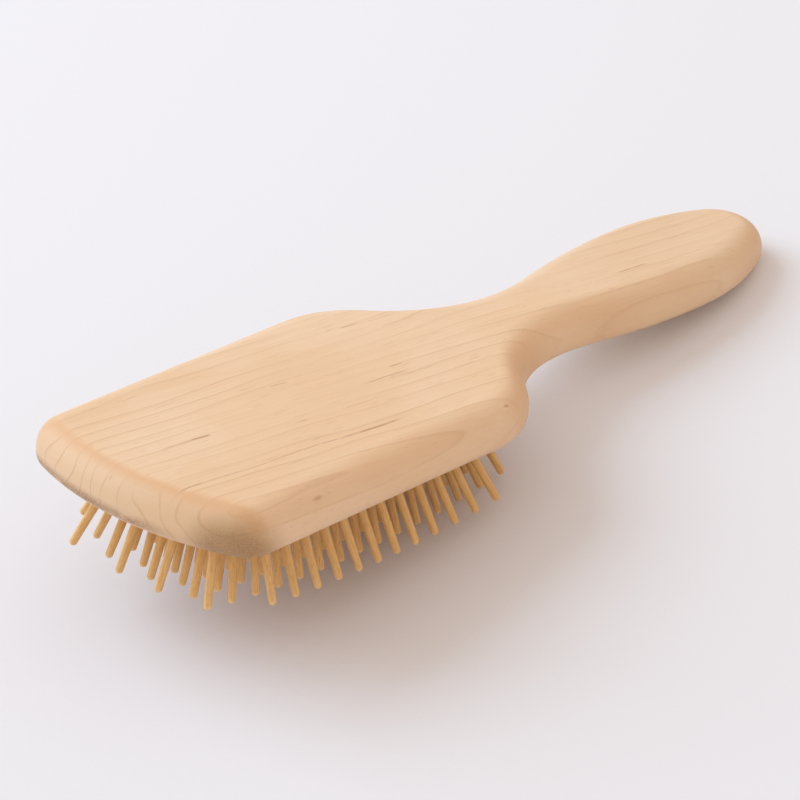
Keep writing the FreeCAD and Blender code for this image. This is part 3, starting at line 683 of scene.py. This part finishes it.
# a cross row of pins, as Geometry Nodes: points on the dome, pins stood on them
def makeRowTree():
    tree = bpy.data.node_groups.new("pinRow", "GeometryNodeTree")
    tree.is_modifier = True
    titles = [("Geometry", "NodeSocketGeometry"), ("Pins In Row", "NodeSocketInt"),
              ("Row Place", "NodeSocketFloat"), ("Pin Spacing", "NodeSocketFloat"),
              ("Along Radius", "NodeSocketFloat"), ("Across Radius", "NodeSocketFloat"),
              ("Crown Height", "NodeSocketFloat"), ("Field Half Length", "NodeSocketFloat"),
              ("Field Half Width", "NodeSocketFloat"), ("Splay Along", "NodeSocketFloat"),
              ("Splay Across", "NodeSocketFloat"), ("Splay Growth", "NodeSocketFloat"),
              ("Seed", "NodeSocketInt"), ("Finish", "NodeSocketMaterial")]
    for title, kind in titles:
        tree.interface.new_socket(title, in_out="INPUT", socket_type=kind)
    tree.interface.new_socket("Geometry", in_out="OUTPUT", socket_type="NodeSocketGeometry")
    nodes = Nodes(tree)
    entry = tree.nodes.new("NodeGroupInput").outputs
    leave = tree.nodes.new("NodeGroupOutput").inputs

    steps = nodes.math("SUBTRACT", entry["Pins In Row"], 1.0)
    firstY = nodes.times(nodes.times(steps, entry["Pin Spacing"]), -0.5)
    start = nodes.put("ShaderNodeCombineXYZ", {0: entry["Row Place"], 1: firstY}).outputs[0]
    stride = nodes.put("ShaderNodeCombineXYZ", {1: entry["Pin Spacing"]}).outputs[0]
    line = nodes.put(
        "GeometryNodeMeshLine",
        {"Count": entry["Pins In Row"], "Start Location": start, "Offset": stride},
        mode="OFFSET",
    )
    place = nodes.put("GeometryNodeInputPosition").outputs[0]
    apart = nodes.parts(place)

    # height of the dome under each point
    acrossSquared = nodes.math("POWER", entry["Across Radius"], 2.0)
    sideways = nodes.math("SQRT", nodes.math("SUBTRACT", acrossSquared, nodes.math("POWER", apart[1], 2.0)))
    spread = nodes.math("SUBTRACT", entry["Along Radius"], entry["Across Radius"])
    reach = nodes.math("POWER", nodes.math("ADD", spread, sideways), 2.0)
    fall = nodes.math("SQRT", nodes.math("SUBTRACT", reach, nodes.math("POWER", apart[0], 2.0)))
    crown = nodes.math("SUBTRACT", entry["Along Radius"], entry["Crown Height"])
    height = nodes.math("SUBTRACT", crown, fall)
    lifted = nodes.put("ShaderNodeCombineXYZ", {2: height}).outputs[0]
    points = nodes.put("GeometryNodeSetPosition", {"Geometry": line.outputs[0], "Offset": lifted})

    # every pin leans away from the middle of the field, more and more towards its edge
    def lean(distance, halfField, splay):
        share = nodes.math("DIVIDE", distance, halfField)
        grown = nodes.math("POWER", nodes.math("ABSOLUTE", share), entry["Splay Growth"])
        outwards = nodes.times(grown, nodes.math("TANGENT", splay))
        return nodes.times(outwards, nodes.times(nodes.math("SIGN", share), -1.0))

    leanAlong = lean(apart[0], entry["Field Half Length"], entry["Splay Along"])
    leanAcross = lean(apart[1], entry["Field Half Width"], entry["Splay Across"])
    upwards = nodes.put("ShaderNodeCombineXYZ", {0: leanAlong, 1: leanAcross, 2: 1.0}).outputs[0]
    standing = nodes.put("FunctionNodeAlignRotationToVector", {"Vector": upwards}, axis="Z")

    # each pin keeps its own place for the grain
    ownPlace = nodes.put("GeometryNodeInputPosition").outputs[0]
    inMillimetres = nodes.sized(ownPlace, 1 / mm)
    keptPlace = nodes.put("GeometryNodeStoreNamedAttribute",
                          {"Geometry": entry["Geometry"], "Name": "pinPlace"},
                          data_type="FLOAT_VECTOR", domain="POINT")
    tree.links.new(inMillimetres, keptPlace.inputs["Value"])
    pins = nodes.put("GeometryNodeInstanceOnPoints",
                     {"Points": points.outputs[0], "Instance": keptPlace.outputs[0],
                      "Rotation": standing.outputs[0]})
    spin = nodes.put("FunctionNodeRandomValue", data_type="FLOAT")
    spin.inputs[3].default_value = math.tau
    tree.links.new(entry["Seed"], spin.inputs["Seed"])
    spinTurn = nodes.put("ShaderNodeCombineXYZ", {2: spin.outputs[1]}).outputs[0]
    spun = nodes.put("GeometryNodeRotateInstances", {"Instances": pins.outputs[0], "Rotation": spinTurn})
    shade = nodes.put("FunctionNodeRandomValue", data_type="FLOAT")
    tree.links.new(nodes.math("ADD", entry["Seed"], pin["shadeSeed"]), shade.inputs["Seed"])
    keptShade = nodes.put("GeometryNodeStoreNamedAttribute",
                          {"Geometry": spun.outputs[0], "Name": "pinShade"},
                          data_type="FLOAT", domain="INSTANCE")
    tree.links.new(shade.outputs[1], keptShade.inputs["Value"])
    real = nodes.put("GeometryNodeRealizeInstances", {"Geometry": keptShade.outputs[0]})
    finished = nodes.put("GeometryNodeSetMaterial",
                         {"Geometry": real.outputs[0], "Material": entry["Finish"]})
    tree.links.new(finished.outputs[0], leave["Geometry"])
    return tree


def buildRow(number, row, tree, pinMesh):
    name = f"pinRow{number:02d}"
    helper = bpy.data.objects.new(name + "Nodes", pinMesh)
    bpy.context.collection.objects.link(helper)
    modifier = helper.modifiers.new("pinRow", "NODES")
    modifier.node_group = tree
    outerAlong = brush["cushionHalfLength"] - pinField["endMargin"]
    outerAcross = brush["cushionHalfWidth"] - pinField["sideMargin"]
    values = {
        "Pins In Row": len(pinRows[row]),
        "Row Place": row * rowStep * mm,
        "Pin Spacing": 2 * lineStep * mm,
        "Along Radius": dome["alongRadius"] * mm,
        "Across Radius": dome["acrossRadius"] * mm,
        "Crown Height": dome["crownHeight"] * mm,
        "Field Half Length": outerAlong * mm,
        "Field Half Width": outerAcross * mm,
        "Splay Along": math.radians(pinField["splayAlong"]),
        "Splay Across": math.radians(pinField["splayAcross"]),
        "Splay Growth": pinField["splayGrowth"],
        "Seed": pin["seed"] + number,
        "Finish": pinMaterial,
    }
    for item in tree.interface.items_tree:
        if item.item_type == "SOCKET" and item.in_out == "INPUT" and item.name in values:
            modifier[item.identifier] = values[item.name]
    bpy.context.view_layer.update()
    graph = bpy.context.evaluated_depsgraph_get()
    mesh = bpy.data.meshes.new_from_object(helper.evaluated_get(graph), depsgraph=graph)
    helper.modifiers.clear()
    bpy.data.objects.remove(helper)
    mesh.name = name
    mesh.transform(brushToRoom @ Matrix.Translation((brush["cushionMiddle"] * mm, 0, 0)))
    obj = bpy.data.objects.new(name, mesh)
    bpy.context.collection.objects.link(obj)
    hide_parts(f"pin_row_{number:02d}")
    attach(obj, f"row_{number:02d}")
    return obj


rowTree = makeRowTree()
turnedPin = buildPin()
for number, row in enumerate(pinRows, start=1):
    buildRow(number, row, rowTree, turnedPin)
print("pin rows built:", len(pinRows), "rows,", sum(map(len, pinRows.values())), "pins")

# floor, light and camera, in metres
studio = dict(
    floorReach=6.0,
    floorColour=(0.87, 0.895, 0.975),
    floorRoughness=0.9,
    floorShine=0.15,
    worldColour=(1.0, 0.85, 0.73),
    worldStrength=0.74,
    wallColour=(0.86, 0.86, 0.89),
    keyPlace=(-0.61, 2.0, 1.53),
    keySize=2.5,
    keyPower=48.5,
    keyColour=(0.70, 0.87, 1.0),
    fillPlace=(-0.8, -1.1, 0.9),
    fillSize=1.2,
    fillPower=0.5,
    fillColour=(1.0, 0.93, 0.86),
)


def makeStudio():
    reach = studio["floorReach"]
    corners = [(-reach, -reach, 0), (reach, -reach, 0), (reach, reach, 0), (-reach, reach, 0)]
    floor = addMesh("floor", corners, [(0, 1, 2, 3)])
    material, nodes, shader = newMaterial("paperFloor", studio["floorShine"])
    shader.inputs["Base Color"].default_value = (*studio["floorColour"], 1)
    shader.inputs["Roughness"].default_value = studio["floorRoughness"]
    # the floor can be seen through from underneath, so that the pin side can be looked at
    underneath = nodes.put("ShaderNodeNewGeometry").outputs["Backfacing"]
    clear = nodes.put("ShaderNodeBsdfTransparent")
    either = nodes.put("ShaderNodeMixShader", {0: underneath})
    nodes.tree.links.new(shader.outputs[0], either.inputs[1])
    nodes.tree.links.new(clear.outputs[0], either.inputs[2])
    nodes.tree.links.new(either.outputs[0], nodes.tree.nodes["Material Output"].inputs[0])
    dress(floor, material)
    # the room lights the brush warmly, and looks pale behind it
    world = bpy.data.worlds.new("paleRoom")
    world.use_nodes = True
    room = Nodes(world.node_tree)
    warmth = world.node_tree.nodes["Background"]
    warmth.inputs[0].default_value = (*studio["worldColour"], 1)
    warmth.inputs[1].default_value = studio["worldStrength"]
    seen = room.put("ShaderNodeBackground", {0: (*studio["wallColour"], 1)})
    cameraRay = room.put("ShaderNodeLightPath").outputs["Is Camera Ray"]
    both = room.put("ShaderNodeMixShader", {0: cameraRay})
    world.node_tree.links.new(warmth.outputs[0], both.inputs[1])
    world.node_tree.links.new(seen.outputs[0], both.inputs[2])
    world.node_tree.links.new(both.outputs[0], world.node_tree.nodes["World Output"].inputs[0])
    bpy.context.scene.world = world
    for name in ("key", "fill"):
        light = bpy.data.lights.new(name + "Light", "AREA")
        light.shape = "DISK"
        light.size = studio[name + "Size"]
        light.energy = studio[name + "Power"]
        light.color = studio[name + "Colour"]
        lamp = bpy.data.objects.new(name + "Light", light)
        lamp.location = studio[name + "Place"]
        lamp.rotation_mode = "QUATERNION"
        lamp.rotation_quaternion = (-Vector(studio[name + "Place"])).to_track_quat("-Z", "Y")
        bpy.context.collection.objects.link(lamp)


view = dict(place=(-0.69905, -0.68673, 0.63476), aim=(0.00355, 0.02333, 0.0), roll=-5.184,
            lens=202.5, sensor=36.0, farthest=50.0)


def makeCamera():
    data = bpy.data.cameras.new("camera")
    data.lens = view["lens"]
    data.sensor_width = view["sensor"]
    data.clip_end = view["farthest"]
    camera = bpy.data.objects.new("camera", data)
    place, aim = Vector(view["place"]), Vector(view["aim"])
    level = (aim - place).to_track_quat("-Z", "Y").to_matrix().to_4x4()
    roll = Matrix.Rotation(math.radians(view["roll"]), 4, "Z")
    camera.matrix_world = Matrix.Translation(place) @ level @ roll
    bpy.context.collection.objects.link(camera)
    bpy.context.scene.camera = camera


makeStudio()
makeCamera()
bpy.context.scene.view_settings.view_transform = "Standard"
print("studio made")
